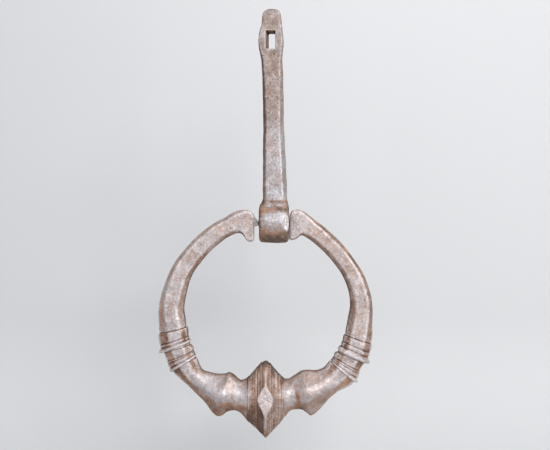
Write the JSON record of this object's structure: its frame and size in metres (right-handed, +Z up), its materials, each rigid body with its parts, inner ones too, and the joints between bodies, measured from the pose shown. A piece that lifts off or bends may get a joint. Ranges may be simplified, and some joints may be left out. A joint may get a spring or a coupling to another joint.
{
  "type": "ring door knocker",
  "caption": "Hand-forged iron ring knocker that swings in the rolled eye of a long slotted shank, with collared arms and a pointed striker bead.",
  "frame": {"origin": "on the shank's own axis at the door face, one eye radius above the pivot of the ring", "axes": "+Z along the shank from the door face towards the wedge slot and tip, so into the door once fitted; +X along the pivot; the ring's decorated front faces -Y in the rest pose. At rest the ring lies in the plane of the shank, as laid on a table or hung by the shank with +Z up. Fitted to a door, the shank is level, the door is on the +Z side of the origin, +Y is down and the ring hangs at +90 degrees with its front to the visitor"},
  "size_m": [0.1485, 0.0284, 0.2967],
  "materials": {
    "iron": "hand-forged and hammered, dark brown patina, flats worn to a dull grey",
    "iron_worn": "filed and rubbed, edges worn bright",
    "iron_dark": "filed grooves holding dark brown rust, ridges worn to a dull grey"
  },
  "bodies": {
    "shank_body": {"shank": "iron"},
    "ring_body": {"ring_bar": "iron", "striker_bead": "iron_dark", "left_upper_collar": "iron_worn", "left_lower_collar": "iron_worn", "right_upper_collar": "iron_worn", "right_lower_collar": "iron_worn"}
  },
  "joints": [
    {"name": "ring_swing", "type": "hinge", "parent": "shank_body", "child": "ring_body", "pos_m": [0, 0, -0.0142], "axis": [1, 0, 0], "range_deg": [-90, 90]}
  ]
}
